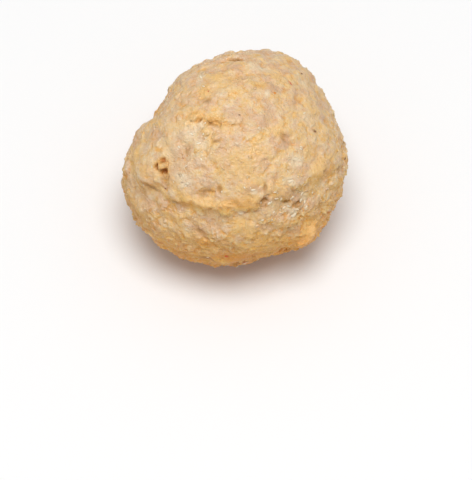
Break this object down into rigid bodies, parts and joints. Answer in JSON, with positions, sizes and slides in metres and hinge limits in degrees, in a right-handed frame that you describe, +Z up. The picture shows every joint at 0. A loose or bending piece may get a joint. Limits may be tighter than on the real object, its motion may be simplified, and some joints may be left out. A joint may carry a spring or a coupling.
{
  "type": "beef and chicken meatball",
  "caption": "Browned ball of beef and chicken mince, uneven and craggy, with a ledge across its front and a small flat spot to rest on.",
  "frame": {"origin": "bottom centre of the bounding box, on the surface that the ball rests on", "axes": "+Z up; -Y towards the ball's front, the side with the ledge; +X to the right of someone who looks at the front"},
  "size_m": [0.0402, 0.0382, 0.0345],
  "materials": {
    "cooked_mince": null
  },
  "bodies": {
    "root": {"meatball": "cooked_mince"}
  },
  "joints": []
}
